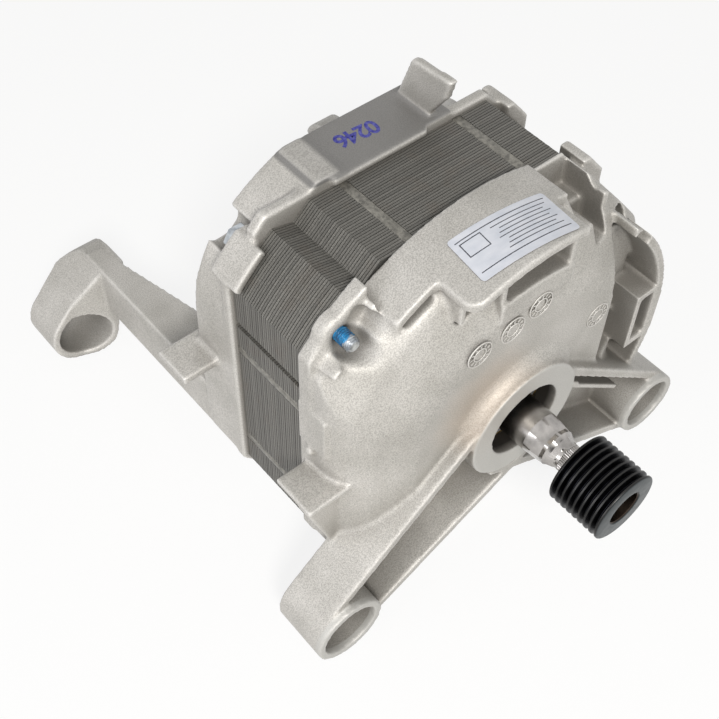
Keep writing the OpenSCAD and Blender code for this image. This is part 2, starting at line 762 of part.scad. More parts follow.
module tacho_cap() {
    color([0.15, 0.15, 0.16]) place() difference() {
        ycyl(cap_r, hub_back, hub_back + cap_len);
        ycyl(cap_r - 2.5, hub_back + 1.2, hub_back + cap_len - shell_t);
        ycyl(magnet_r + 1, hub_back - 1, hub_back + 2);
    }
}

// Connection block on the back of the bell, with its blades inside an open socket.
module terminal_housing() {
    color([0.9, 0.9, 0.87]) place() translate([term_x0, bell_y1 + dish, term_z0]) difference() {
        cube([block_w, block_len, block_h]);
        translate([shell_t, 4, shell_t]) cube([block_w - 2 * shell_t, block_len, block_h - 2 * shell_t]);
    }
}

module terminal_pins() {
    w = (block_w - 4) / pins;
    color([0.8, 0.72, 0.45]) place() translate([term_x0, bell_y1 + dish, term_z0 + block_h / 2])
        for (i = [0 : pins - 1]) translate([2 + w * (i + 0.5) - 1.4, 4, -0.4]) cube([2.8, block_len - 8, 0.8]);
}

// Blank rating label, a thin curved plate on the band, a little askew.
module rating_label() {
    color([0.8, 0.81, 0.85]) place() intersection() {
        slab(0, shield_y) difference() {
            circle(r = band_r + 0.35);
            circle(r = band_r);
        }
        translate([-3.4, 14.6, 60]) rotate(-5.5)
            translate([-label_len / 2, -label_w / 2, 0]) cube([label_len, label_w, 30]);
    }
}

module front_bearing_outer() { bearing_outer(fb_y0); }
module front_bearing_inner() { bearing_inner(fb_y0); }
module front_bearing_balls() { bearing_balls(fb_y0); }
module front_bearing_cage() { bearing_cage(fb_y0); }
module rear_bearing_outer() { bearing_outer(rb_y0); }
module rear_bearing_inner() { bearing_inner(rb_y0); }
module rear_bearing_balls() { bearing_balls(rb_y0); }
module rear_bearing_cage() { bearing_cage(rb_y0); }

front_shield();
rear_shield();
stator_core();
cleat_strips();
stator_winding();
thermal_protector();
rotor_core();
rotor_cage();
shaft();
pulley();
front_bearing_outer();
front_bearing_inner();
front_bearing_balls();
front_bearing_cage();
rear_bearing_outer();
rear_bearing_inner();
rear_bearing_balls();
rear_bearing_cage();
wave_washer();
clamp_bolts();
bolt_nuts();
tacho_magnet();
tacho_coil();
tacho_cap();
terminal_housing();
terminal_pins();
rating_label();
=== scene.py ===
import bpy
import bmesh
import math
from mathutils import Matrix, Vector


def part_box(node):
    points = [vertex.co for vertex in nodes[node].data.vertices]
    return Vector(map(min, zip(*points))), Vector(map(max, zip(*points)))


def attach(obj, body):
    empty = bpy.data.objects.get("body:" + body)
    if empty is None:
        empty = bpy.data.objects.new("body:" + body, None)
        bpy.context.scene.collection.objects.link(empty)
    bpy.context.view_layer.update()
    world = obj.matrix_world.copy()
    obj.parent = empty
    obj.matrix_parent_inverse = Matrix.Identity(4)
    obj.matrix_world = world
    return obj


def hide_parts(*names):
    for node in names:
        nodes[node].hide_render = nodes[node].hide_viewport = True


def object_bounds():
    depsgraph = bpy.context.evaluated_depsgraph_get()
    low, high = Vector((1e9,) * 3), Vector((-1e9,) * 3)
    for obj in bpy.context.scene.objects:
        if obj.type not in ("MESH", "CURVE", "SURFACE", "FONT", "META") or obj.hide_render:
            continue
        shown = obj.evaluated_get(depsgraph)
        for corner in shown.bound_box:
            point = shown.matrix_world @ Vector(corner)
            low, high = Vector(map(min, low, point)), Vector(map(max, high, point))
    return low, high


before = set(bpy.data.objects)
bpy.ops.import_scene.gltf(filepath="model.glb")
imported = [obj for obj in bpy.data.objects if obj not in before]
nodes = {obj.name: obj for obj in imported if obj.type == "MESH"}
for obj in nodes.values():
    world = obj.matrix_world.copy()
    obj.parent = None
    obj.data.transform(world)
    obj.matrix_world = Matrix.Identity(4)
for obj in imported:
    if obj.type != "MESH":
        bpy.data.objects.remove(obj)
cad_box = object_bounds()
scene = bpy.context.scene
scene.view_settings.view_transform = "Standard"

# ---------------------------------------------------------------- Studio
# A plain pale table with soft daylight lamps. The motor stands on the underside of its shields.
# The camera looks down on the pulley side from the upper left.
def shade(code):
    """An sRGB hex colour as linear red, green, blue and alpha."""
    parts = [int(code[i:i + 2], 16) / 255 for i in (1, 3, 5)]
    return tuple(c / 12.92 if c <= 0.04045 else ((c + 0.055) / 1.055) ** 2.4 for c in parts) + (1.0,)


def add(tree, kind, inputs=None, **settings):
    """Adds a node. Settings name its properties or inputs; the inputs given are sockets to link, or plain values."""
    node = tree.nodes.new(kind)
    for name, value in settings.items():
        if hasattr(node, name):
            setattr(node, name, value)
        else:
            node.inputs[name.replace("_", " ")].default_value = value
    for name, value in (inputs or {}).items():
        if isinstance(value, bpy.types.NodeSocket):
            tree.links.new(value, node.inputs[name])
        else:
            node.inputs[name].default_value = value
    return node


def calc(tree, operation, *values):
    """The result of a math node on sockets or numbers."""
    return add(tree, "ShaderNodeMath", dict(enumerate(values)), operation=operation).outputs[0]


def in_picture(tree):
    """1 for what the camera sees, straight, mirrored or through glass, and 0 for the light that falls on things."""
    path = add(tree, "ShaderNodeLightPath").outputs
    seen = calc(tree, "MAXIMUM", path["Is Camera Ray"], path["Is Glossy Ray"])
    return calc(tree, "MAXIMUM", seen, path["Is Transmission Ray"])


def new_material(name):
    """An empty node material and its tree."""
    material = bpy.data.materials.new(name)
    material.use_nodes = True
    material.node_tree.nodes.clear()
    return material, material.node_tree


def new_object(name, data):
    obj = bpy.data.objects.new(name, data)
    scene.collection.objects.link(obj)
    return obj


def lamp(name, place, aim, size, watts, tone):
    light = bpy.data.lights.new(name, "AREA")
    light.shape = "DISK"
    light.size = size
    light.energy = watts
    light.color = shade(tone)[:3]
    obj = new_object(name, light)
    obj.location = place
    obj.rotation_mode = "QUATERNION"
    obj.rotation_quaternion = (Vector(aim) - Vector(place)).to_track_quat("-Z", "Y")


camera = new_object("camera", bpy.data.cameras.new("camera"))
camera.data.lens = 58.53
camera.data.sensor_width = 36
camera.data.clip_start = 0.01
camera.data.clip_end = 10
camera.matrix_world = Matrix((
    (0.766048, 0.493480, -0.411884, -0.185544),
    (-0.642501, 0.606840, -0.467908, -0.096785),
    (0.019045, 0.623076, 0.781930, 0.304226),
    (0, 0, 0, 1)))
scene.camera = camera

world = bpy.data.worlds.new("studio")
scene.world = world
world.use_nodes = True
sky = world.node_tree
sky.nodes.clear()
ambient = add(sky, "ShaderNodeBackground", Color=shade("#eef0f2"), Strength=0.26)
backdrop = add(sky, "ShaderNodeBackground", Color=shade("#ffffff"), Strength=1.0)
mixed = add(sky, "ShaderNodeMixShader", {0: in_picture(sky), 1: ambient.outputs[0], 2: backdrop.outputs[0]})
add(sky, "ShaderNodeOutputWorld", {"Surface": mixed.outputs[0]})

table_half = 4
table_z = cad_box[0].z - 0.0002
table_white_share = 0.85
table = bpy.data.meshes.new("table")
table.from_pydata([(x * table_half, y * table_half, table_z) for x, y in ((-1, -1), (1, -1), (1, 1), (-1, 1))],
                  [], [(0, 1, 2, 3)])
table = new_object("table", table)
material, tree = new_material("white_table")
share = calc(tree, "MULTIPLY", in_picture(tree), table_white_share)
paper = add(tree, "ShaderNodeBsdfDiffuse", Color=shade("#f4f3f0"))
white = add(tree, "ShaderNodeEmission", Color=shade("#ffffff"), Strength=1.0)
mixed = add(tree, "ShaderNodeMixShader", {0: share, 1: paper.outputs[0], 2: white.outputs[0]})
add(tree, "ShaderNodeOutputMaterial", {"Surface": mixed.outputs[0]})
table.data.materials.append(material)

aim = (0, 0.06, 0)
lamp("key", (-0.52, -0.72, 0.92), aim, 0.3, 16.0, "#fffdf9")
lamp("fill", (-1.00, 0.10, 0.30), aim, 0.6, 3.0, "#f8f9ff")

# ---------------------------------------------------------------- Front shield
# One pressure die casting in aluminium: a domed disc with the hub, the label band, pockets, lugs,
# ledges and two trough-shaped legs. Cast edges are rounded and the skin is left as cast and sand blasted.
# The clamp rods pull it against the lamination stack.
hub_y = 0.0328


def solid_copy(name, *sources):
    """A new piece from copies of CAD nodes, with their loose triangles merged."""
    bm = bmesh.new()
    for source in sources:
        bm.from_mesh(nodes[source].data)
    bmesh.ops.remove_doubles(bm, verts=bm.verts, dist=2e-6)
    mesh = bpy.data.meshes.new(name)
    bm.to_mesh(mesh)
    bm.free()
    mesh.materials.clear()
    return new_object(name, mesh)


def bake(obj):
    """Applies every modifier on the piece."""
    graph = bpy.context.evaluated_depsgraph_get()
    mesh = bpy.data.meshes.new_from_object(obj.evaluated_get(graph), depsgraph=graph)
    obj.modifiers.clear()
    obj.data = mesh
    return obj


def fit_piece(obj, body, material, slot_name, *replaced):
    """Gives the piece its material and body, and hides the CAD nodes it stands for. The slot name is not used."""
    obj.data.materials.clear()
    obj.data.materials.append(material)
    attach(obj, body)
    if replaced:
        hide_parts(*replaced)
    return obj


def closed_mesh(name, points, faces, sharp=None):
    """A new object whose normals point outward, smooth but for the edges over the sharp angle in degrees."""
    mesh = bpy.data.meshes.new(name)
    mesh.from_pydata(points, [], faces)
    bm = bmesh.new()
    bm.from_mesh(mesh)
    bmesh.ops.recalc_face_normals(bm, faces=bm.faces)
    bm.to_mesh(mesh)
    bm.free()
    if sharp:
        mesh.shade_smooth()
        mesh.set_sharp_from_angle(angle=math.radians(sharp))
    return new_object(name, mesh)


def prism(name, corners, low, high):
    """A block with the given corners (x, z) between two places along the shaft."""
    count = len(corners)
    points = [(x, y, z) for y in (low, high) for x, z in corners]
    faces = [tuple(range(count)), tuple(range(2 * count - 1, count - 1, -1))]
    faces += [(i, i + count, (i + 1) % count + count, (i + 1) % count) for i in range(count)]
    return closed_mesh(name, points, faces)


def cast_copy(name, node, voxel, softening, most, walls=(), hollows=(), blended=()):
    """A copy of a CAD casting with rounded edges and filled corners, as the metal leaves its mould.
    Hollows are cut out of it and walls joined to it first, each from and to a depth behind the hub's front
    face; round the blended spots (x, z) it flows softly."""
    reach, fade, flow_end = 0.013, 0.005, hub_y + 0.0300
    obj = solid_copy(name, node)
    for group, operation in ((hollows, "DIFFERENCE"), (walls, "UNION")):
        for index, (corners, low, high) in enumerate(group):
            tool = prism(f"{name}_{operation.lower()}_{index}", corners, hub_y + low, hub_y + high)
            boolean = obj.modifiers.new("boolean", "BOOLEAN")
            boolean.operation = operation
            boolean.solver = "EXACT"
            boolean.object = tool
            bake(obj)
            bpy.data.objects.remove(tool)
    remesh = obj.modifiers.new("skin", "REMESH")
    remesh.mode = "VOXEL"
    remesh.voxel_size = voxel * 1
    soften = obj.modifiers.new("round", "SMOOTH")
    soften.factor = 0.5
    soften.iterations = max(1, softening // (1))
    bake(obj)
    if blended:
        near = obj.vertex_groups.new(name="blended")
        for vertex in obj.data.vertices:
            gap = min(math.hypot(vertex.co.x - x, vertex.co.z - z) for x, z in blended)
            if gap < reach and vertex.co.y < flow_end:
                near.add([vertex.index], min(1, (reach - gap) / fade), "REPLACE")
        flow = obj.modifiers.new("flow", "SMOOTH")
        flow.vertex_group = "blended"
        flow.factor = 0.5
        flow.iterations = 40 // 1
        bake(obj)
    faces = sum(len(p.vertices) - 2 for p in obj.data.polygons)
    if faces > most:
        thin = obj.modifiers.new("thin", "DECIMATE")
        thin.ratio = most / faces
        bake(obj)
    obj.data.shade_smooth()
    return obj


def object_place(tree):
    """The object coordinates, and their X, Y and Z."""
    place = add(tree, "ShaderNodeTexCoord").outputs["Object"]
    return place, add(tree, "ShaderNodeSeparateXYZ", {"Vector": place}).outputs


def noise(tree, place, scale, detail, rough=0.5):
    looks = {"Scale": scale, "Detail": detail, "Roughness": rough}
    return add(tree, "ShaderNodeTexNoise", {"Vector": place, **looks}).outputs["Fac"]


def ramp(tree, value, *stops):
    """The value as a colour between stops, each a position and a hex colour."""
    node = add(tree, "ShaderNodeValToRGB", {"Fac": value})
    elements = node.color_ramp.elements
    for index, (position, code) in enumerate(stops):
        element = elements[index] if index < 2 else elements.new(position)
        element.position = position
        element.color = shade(code)
    return node.outputs[0]


def remap(tree, value, start, end, low=0.0, high=1.0, kind="LINEAR"):
    """The value from start to end, turned into low to high."""
    limits = {"From Min": start, "From Max": end, "To Min": low, "To Max": high}
    return add(tree, "ShaderNodeMapRange", {"Value": value, **limits}, interpolation_type=kind).outputs[0]


def tint(tree, colour, share, other, kind="MIX"):
    """The colour with a share of the other one, which is a hex colour or a socket."""
    other = shade(other) if isinstance(other, str) else other
    return add(tree, "ShaderNodeMix", {"Factor": share, "A": colour, "B": other},
               data_type="RGBA", blend_type=kind).outputs["Result"]


def bump(tree, height, strength, distance, **before):
    return add(tree, "ShaderNodeBump", {"Height": height, **before}, Strength=strength, Distance=distance).outputs[0]


def from_axis(tree, axis):
    """The distance from the shaft's axis."""
    flat = add(tree, "ShaderNodeCombineXYZ", {"X": axis["X"], "Z": axis["Z"]}).outputs[0]
    return add(tree, "ShaderNodeVectorMath", {0: flat}, operation="LENGTH").outputs["Value"]


def surface(tree, colour, rough, metallic=0.0, **more):
    """Ends the material with its surface."""
    looks = {"Base Color": colour, "Roughness": rough, "Metallic": metallic, **more}
    add(tree, "ShaderNodeOutputMaterial", {
        "Surface": add(tree, "ShaderNodeBsdfPrincipled", looks).outputs[0]})


# Aluminium die casting, sand blasted: warm light grey with a fine bright and dark grain about 0.4 mm
# across, cloudy patches a few centimetres wide, a painted highlight on edges, painted shade in hollows, and a matt
# sheen.
def cast_aluminium(name, stain, darker_top):
    material, tree = new_material(name)
    place, axis = object_place(tree)
    cloud = noise(tree, place, 38, 3, 0.6)
    grain = noise(tree, place, 2500, 1, 0.6)
    coarse = noise(tree, place, 900, 3, 0.75)
    tone = ramp(tree, cloud, (0.32, "#b4b1ab"), (0.68, "#cac7c2"))
    speck = ramp(tree, grain, (0.36, "#8e8d8b"), (0.60, "#ffffff"))
    colour = tint(tree, tone, 0.42, speck, "MULTIPLY")
    # Sharp edges are painted lighter, a painted highlight, and tight corners are painted darker, painted shade.
    edge = add(tree, "ShaderNodeNewGeometry").outputs["Pointiness"]
    colour = tint(tree, colour, remap(tree, edge, 0.51, 0.58, 0, 0.6), "#e2e0dc")
    colour = tint(tree, colour, remap(tree, edge, 0.49, 0.43, 0, 0.55), "#77736c")
    # Hollows and troughs are painted darker as well, by ambient occlusion: painted shade.
    open_sky = add(tree, "ShaderNodeAmbientOcclusion", Distance=0.022).outputs["AO"]
    colour = tint(tree, colour, remap(tree, open_sky, 0.80, 0.35, 0, 0.75), "#726e68")
    if stain:
        # Oil that crept from the bearing has left a ragged light brown film.
        spot = add(tree, "ShaderNodeVectorMath", {0: place, 1: stain}, operation="DISTANCE").outputs["Value"]
        ragged = calc(tree, "MULTIPLY_ADD", cloud, -0.02, spot)
        colour = tint(tree, colour, remap(tree, ragged, -0.004, 0.015, 0.32, 0, "SMOOTHSTEP"), "#b79f86")
        # The ring round the hub's opening is faced on a lathe: even, without the blasted grain.
        level = remap(tree, axis["Y"], hub_y + 0.0005, hub_y + 0.0002, 0, 0.7)
        colour = tint(tree, colour, level, "#bab9b5")
        # The seat behind the hub's opening is painted near black: painted shade deep inside the opening.
        inside = remap(tree, from_axis(tree, axis), 0.0149, 0.0143)
        depth = remap(tree, axis["Y"], hub_y + 0.0004, hub_y + 0.0035)
        colour = tint(tree, colour, calc(tree, "MULTIPLY", inside, depth), "#2a2724")
    if darker_top:
        # The bell's flat top is painted darker than the rest of the casting.
        high = remap(tree, axis["Z"], darker_top - 0.0008, darker_top - 0.0001, kind="SMOOTHSTEP")
        low = remap(tree, axis["Z"], darker_top + 0.0012, darker_top + 0.0005, kind="SMOOTHSTEP")
        flat = calc(tree, "MULTIPLY", calc(tree, "MULTIPLY", high, low), 0.8)
        colour = tint(tree, colour, flat, "#6c6b6a")
    rough = remap(tree, coarse, 0, 1, 0.46, 0.68)
    pits = bump(tree, grain, 0.45, 0.0002)
    surface(tree, colour, rough, 0.4, Normal=bump(tree, coarse, 0.3, 0.0003, Normal=pits))
    return material


def arc(radius, start, end):
    """Points (x, z) on a circle about the shaft's axis."""
    return [(x, math.sqrt(radius ** 2 - x ** 2)) for x in [start + (end - start) * i / 16 for i in range(17)]]


def box(left, right, low, high):
    return [(left, low), (right, low), (right, high), (left, high)]


# The window under the label band has a crisp lower lip and the stub wall stands free beside the band.
# A notch, a slot and a little rib break the edge near the upper left rod, and a rib runs in each leg's trough.
rod_places = [(-0.053, 0.056), (0.047, 0.047), (0.041, -0.0565), (-0.041, -0.0565)]
lip_radius = 0.0592
band_inside = 0.0726
slot_floor = 0.0706
window_lip = [(0.017, 0.050), (-0.013, 0.050)] + arc(lip_radius, -0.013, 0.017)
window = arc(lip_radius, -0.011, 0.015) + arc(band_inside, 0.015, -0.011)
beside_stub_wall = box(0.0240, 0.0378, 0.0580, 0.0800)
under_stub_wall = box(0.0320, 0.0378, 0.0505, 0.0590)
rod_rib = [(-0.0625, 0.0500), (-0.0590, 0.0524), (-0.0578, 0.0510), (-0.0612, 0.0486)]
rod_notch = [(-0.0512, 0.0590), (-0.0485, 0.0648), (-0.0430, 0.0622), (-0.0455, 0.0575)]
arm_slot = arc(slot_floor, -0.0400, -0.0298) + arc(band_inside, -0.0298, -0.0400)
leg_rib = [(0.0289, -0.0091), (0.0580, -0.0336), (0.0568, -0.0350), (0.0278, -0.0105)]
other_leg_rib = [(-x, z) for x, z in reversed(leg_rib)]
front_metal = cast_aluminium("die_cast_aluminium_front", (-0.015, hub_y + 0.003, 0.015), None)
front = cast_copy(
    "front_casting", "front_shield", 0.0007, 3, 190000,
    walls=[(window_lip, 0.0061, 0.0100), (rod_rib, 0.0205, 0.0300),
           (leg_rib, 0.0040, 0.0170), (other_leg_rib, 0.0040, 0.0170)],
    hollows=[(window, 0.0045, 0.0200), (beside_stub_wall, -0.001, 0.0326), (under_stub_wall, -0.001, 0.0240),
             (rod_notch, 0.0140, 0.0300), (arm_slot, 0.0120, 0.0310)],
    blended=rod_places[:1])
fit_piece(front, "housing", front_metal, "cast_shield", "front_shield")

# ---------------------------------------------------------------- Tool marks
# Date-clock inserts leave raised rings on the disc. They carry no figures here, only rings and ticks.
# They are part of the casting and stand 0.3 mm proud of its face.
mark_radius = 0.0046
mark_bead = 0.00028
mark_ticks = 12
mark_spots = [(0.0039, 0.0478), (-0.0071, 0.0446), (-0.0202, 0.0433), (0.035, 0.0205)]
disc_y = hub_y + 0.0060


def open_group(name, **sockets):
    """A Geometry Nodes tree with inputs of the given kinds: the tree, its inputs and the inputs' keys."""
    tree = bpy.data.node_groups.new(name, "GeometryNodeTree")
    tree.interface.new_socket("Geometry", in_out="INPUT", socket_type="NodeSocketGeometry")
    keys = {}
    for socket, kind in sockets.items():
        keys[socket] = tree.interface.new_socket(socket, in_out="INPUT", socket_type="NodeSocket" + kind).identifier
    tree.interface.new_socket("Geometry", in_out="OUTPUT", socket_type="NodeSocketGeometry")
    return tree, add(tree, "NodeGroupInput").outputs, keys


def close_group(tree, given, instances):
    """Ends the tree with real geometry in the given material."""
    real = add(tree, "GeometryNodeRealizeInstances", {"Geometry": instances})
    painted = add(tree, "GeometryNodeSetMaterial", {"Geometry": real.outputs[0], "Material": given["Material"]})
    add(tree, "NodeGroupOutput", {"Geometry": painted.outputs[0]})


def run_group(obj, group, keys, **values):
    """Runs the tree on the piece with the given values and keeps what it makes."""
    modifier = obj.modifiers.new(group.name, "NODES")
    modifier.node_group = group
    for name, value in values.items():
        modifier[keys[name]] = value
    bake(obj)


def ring_marks():
    """Geometry Nodes tree: rings and ticks of one tool mark on every point of the given mesh."""
    ring_shares, tick_place, tick_length, tick_width = (1.0, 0.52), 0.76, 0.26, 1.6
    tree, given, keys = open_group("tool_marks", Radius="Float", Bead="Float", Ticks="Int", Material="Material")
    mark = add(tree, "GeometryNodeJoinGeometry")
    section = add(tree, "GeometryNodeCurvePrimitiveCircle", {"Radius": given["Bead"]}, Resolution=8)
    for part in ring_shares:
        size = calc(tree, "MULTIPLY", given["Radius"], part)
        circle = add(tree, "GeometryNodeCurvePrimitiveCircle", {"Radius": size}, Resolution=64)
        ring = add(tree, "GeometryNodeCurveToMesh", {"Curve": circle.outputs[0], "Profile Curve": section.outputs[0]})
        tree.links.new(ring.outputs[0], mark.inputs[0])
    inner = calc(tree, "MULTIPLY", given["Radius"], tick_place)
    spots = add(tree, "GeometryNodeMeshCircle", {"Vertices": given["Ticks"], "Radius": inner})
    length = calc(tree, "MULTIPLY", given["Radius"], tick_length)
    width = calc(tree, "MULTIPLY", given["Bead"], tick_width)
    size = add(tree, "ShaderNodeCombineXYZ", {"X": length, "Y": width, "Z": width})
    tick = add(tree, "GeometryNodeMeshCube", {"Size": size.outputs[0]})
    where = add(tree, "GeometryNodeInputPosition")
    turn = add(tree, "FunctionNodeAlignRotationToVector", {"Vector": where.outputs[0]}, axis="X", pivot_axis="Z")
    dial = add(tree, "GeometryNodeInstanceOnPoints", {
        "Points": spots.outputs[0], "Instance": tick.outputs[0], "Rotation": turn.outputs[0]})
    tree.links.new(dial.outputs[0], mark.inputs[0])
    stand = add(tree, "GeometryNodeTransform", {"Geometry": mark.outputs[0], "Rotation": (math.pi / 2, 0, 0)})
    placed = add(tree, "GeometryNodeInstanceOnPoints", {"Points": given["Geometry"], "Instance": stand.outputs[0]})
    close_group(tree, given, placed.outputs[0])
    return tree, keys


points = bpy.data.meshes.new("date_rings")
points.from_pydata([(x, disc_y - 0.00002, z) for x, z in mark_spots], [], [])
marks = new_object("date_rings", points)
run_group(marks, *ring_marks(), Radius=mark_radius, Bead=mark_bead, Ticks=mark_ticks, Material=front_metal)
fit_piece(marks, "housing", front_metal, "cast_shield")

# ---------------------------------------------------------------- Rear shield
# The second casting: a bell with the rear bearing hub and two long channel arms that end in bosses.
# It has the same blasted skin; four lugs take the nuts of the clamp rods.
bell_top = 0.072
rear_metal = cast_aluminium("die_cast_aluminium_rear", None, bell_top)
rear = cast_copy("rear_casting", "rear_shield", 0.0008, 3, 190000)
fit_piece(rear, "housing", rear_metal, "cast_shield", "rear_shield")

# ---------------------------------------------------------------- Stator
# Electrical steel sheets, punched and stacked, held by strips pressed into grooves in the flats.
# The cut edges are dark, slightly rusty and stand in and out by a few hundredths of a millimetre.
stack_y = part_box("stator_core")[0].y
stack_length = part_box("stator_core")[1].y - stack_y
sheet_pitch = 0.001
sheet_share, sheet_inset = 0.8, 0.1
sheet_unevenness = 0.0009


def sheet_stack():
    """Geometry Nodes tree: sheets repeated along the shaft, each one a little out of line."""
    tree, given, keys = open_group("sheet_stack", Count="Int", Pitch="Float", Uneven="Float", Material="Material")
    step = add(tree, "ShaderNodeCombineXYZ", {"Y": given["Pitch"]})
    line = add(tree, "GeometryNodeMeshLine", {"Count": given["Count"], "Offset": step.outputs[0]})
    smallest = calc(tree, "SUBTRACT", 1, given["Uneven"])
    size = add(tree, "FunctionNodeRandomValue", {2: smallest, 3: 1.0}, data_type="FLOAT", Seed=7)
    scale = add(tree, "ShaderNodeCombineXYZ", {"X": size.outputs[1], "Z": size.outputs[1]}, Y=1.0)
    sheets = add(tree, "GeometryNodeInstanceOnPoints", {
        "Points": line.outputs[0], "Instance": given["Geometry"], "Scale": scale.outputs[0]})
    close_group(tree, given, sheets.outputs[0])
    return tree, keys


# Electrical steel, punched: dark warm grey edges, each sheet with its own tone, a light burr on one
# side and a dark gap on the other, and faint rust. Real sheets are 0.5 mm, drawn at 1 mm so that they show.
def punched_steel(name, start):
    material, tree = new_material(name)
    place, axis = object_place(tree)
    count = calc(tree, "DIVIDE", calc(tree, "SUBTRACT", axis["Y"], start), sheet_pitch)
    number = calc(tree, "FLOOR", count)
    within = calc(tree, "FRACT", count)
    own = add(tree, "ShaderNodeTexWhiteNoise", {"W": number}, noise_dimensions="1D").outputs["Value"]
    blotch = noise(tree, place, 120, 3)
    grit = noise(tree, place, 2000, 2)
    line = ramp(tree, within, (0.05, "#4a4946"), (0.30, "#74726d"), (0.70, "#74726d"),
                (0.86, "#8d8a83"), (0.97, "#54524e"))
    shift = remap(tree, own, 0, 1, 0.74, 1.04)
    colour = add(tree, "ShaderNodeVectorMath", {0: line, "Scale": shift}, operation="SCALE").outputs[0]
    colour = tint(tree, colour, remap(tree, blotch, 0.54, 0.75, 0, 0.35), "#6d6257")
    colour = tint(tree, colour, 0.4, ramp(tree, grit, (0.35, "#9c9c9c"), (0.62, "#ffffff")), "MULTIPLY")
    surface(tree, colour, 0.5, 0.35, Normal=bump(tree, grit, 0.3, 0.0002))
    return material


sheet_steel = punched_steel("punched_electrical_steel", stack_y)
stack = solid_copy("lamination_stack", "stator_core")
# The whole stack's outline is squeezed into its first sheet, which is then repeated.
for vertex in stack.data.vertices:
    share = (vertex.co.y - stack_y) / stack_length
    vertex.co.y = stack_y + share * sheet_pitch * sheet_share + sheet_pitch * sheet_inset
run_group(stack, *sheet_stack(), Count=round(stack_length / sheet_pitch), Pitch=sheet_pitch,
          Uneven=sheet_unevenness, Material=sheet_steel)
fit_piece(stack, "housing", sheet_steel, "lamination_steel", "stator_core")

# ---------------------------------------------------------------- Cleat strips
# Steel strips in the stack's grooves, pressed in and tacked with small weld beads, brighter than the sheets.
# Each runs the whole length of the stack.
strip_steel, tree = new_material("pressed_steel_strip")
beads = noise(tree, object_place(tree)[0], 520, 3, 0.7)
tone = ramp(tree, beads, (0.36, "#63615c"), (0.64, "#8f8c84"))
surface(tree, tone, 0.42, 0.6, Normal=bump(tree, beads, 0.35, 0.0003))


def edged_copy(name, radius, segments, *sources):
    """A copy of CAD nodes with small rounded edges and smooth curved faces."""
    obj = solid_copy(name, *sources)
    join = obj.modifiers.new("flat", "DECIMATE")
    join.decimate_type = "DISSOLVE"
    join.angle_limit = math.radians(0.5)
    round_off = obj.modifiers.new("edges", "BEVEL")
    round_off.width = radius
    round_off.segments = segments
    round_off.limit_method = "ANGLE"
    round_off.angle_limit = math.radians(35)
    round_off.use_clamp_overlap = True
    bake(obj)
    obj.data.shade_smooth()
    obj.data.set_sharp_from_angle(angle=math.radians(30))
    return obj


strips = edged_copy("cleat_strip_set", 0.0003, 2, "cleat_strips")
fit_piece(strips, "housing", strip_steel, "cleat_steel", "cleat_strips")

# ---------------------------------------------------------------- Winding
# Enamelled copper wire, wound in coils and dipped in varnish; it stays inside the shields.
# Its turns show as fine ridges 1.6 mm apart round the overhangs.
def dress(node, material):
    """Gives a CAD node that shows as it is its material."""
    nodes[node].data.materials.clear()
    nodes[node].data.materials.append(material)


copper, tree = new_material("varnished_copper_wire")
turns = add(tree, "ShaderNodeTexWave", {"Vector": object_place(tree)[0]}, wave_type="RINGS", rings_direction="Y",
            Scale=200, Distortion=1.5, Detail=2).outputs["Fac"]
surface(tree, ramp(tree, turns, (0, "#5b2a12"), (1, "#b4642c")), 0.3, 0.3, Normal=bump(tree, turns, 0.8, 0.0004))
dress("stator_winding", copper)


# ---------------------------------------------------------------- Moulded plastics
# Small parts injection moulded in nylon and PBT: the protector's case, the coil's former, the sensor cap,
# the ring magnet and the connection block. Their skin is satin with a fine grain.
def moulded(name, dark, light, rough):
    material, tree = new_material(name)
    place = object_place(tree)[0]
    grain = noise(tree, place, 900, 2)
    tone = ramp(tree, noise(tree, place, 70, 2), (0.35, dark), (0.65, light))
    surface(tree, tone, remap(tree, grain, 0, 1, rough - 0.06, rough + 0.08), Normal=bump(tree, grain, 0.2, 0.0001))
    return material


white_nylon = moulded("moulded_white_nylon", "#d8d5cc", "#e6e3db", 0.45)
black_nylon = moulded("moulded_black_nylon", "#1b1b1d", "#242427", 0.42)
bonded_ferrite = moulded("bonded_ferrite_magnet", "#29292b", "#343436", 0.55)
for piece, node, finish, slot_name, body in (
        ("protector_case", "thermal_protector", white_nylon, "white_plastic", "housing"),
        ("sensor_coil", "tacho_coil", white_nylon, "white_plastic", "housing"),
        ("sensor_cap", "tacho_cap", black_nylon, "black_plastic", "housing"),
        ("ring_magnet", "tacho_magnet", bonded_ferrite, "magnet_dark", "rotor"),
        ("connection_block", "terminal_housing", white_nylon, "white_plastic", "housing")):
    fit_piece(edged_copy(piece, 0.0004, 3, node), body, finish, slot_name, node)

# ---------------------------------------------------------------- Rotor
# Punched sheets with a cage of cast aluminium bars and end rings, pressed on the shaft.
# It turns inside the stator and doesn't show.
dress("rotor_core", punched_steel("rotor_sheet_steel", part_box("rotor_core")[0].y))
dress("rotor_cage", rear_metal)

# ---------------------------------------------------------------- Shaft
# Ground steel: plain in the bearings, then two staggered rows of eight forged flats down the cone and a
# straight-knurled neck with forty teeth, on which the pulley is pressed.
shaft_low, shaft_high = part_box("shaft")
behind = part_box("pulley")[1].y
around = 160
neck, journal, tail, chamfer = 0.0050, 0.0075, 0.0060, 0.0005
tooth_depth, flank_depth = 0.0003, 0.0001


def steel(name, dark, light, rough, bloom):
    """Ground or plated steel: a faint smear over it, and fine turning rings that only show in its gloss."""
    material, tree = new_material(name)
    place, axis = object_place(tree)
    rings = add(tree, "ShaderNodeTexNoise", {"W": axis["Y"]}, noise_dimensions="1D", Scale=3200, Detail=2)
    tone = ramp(tree, noise(tree, place, bloom, 3), (0.34, dark), (0.66, light))
    surface(tree, tone, remap(tree, rings.outputs["Fac"], 0, 1, rough - 0.05, rough + 0.07), 1.0)
    return material


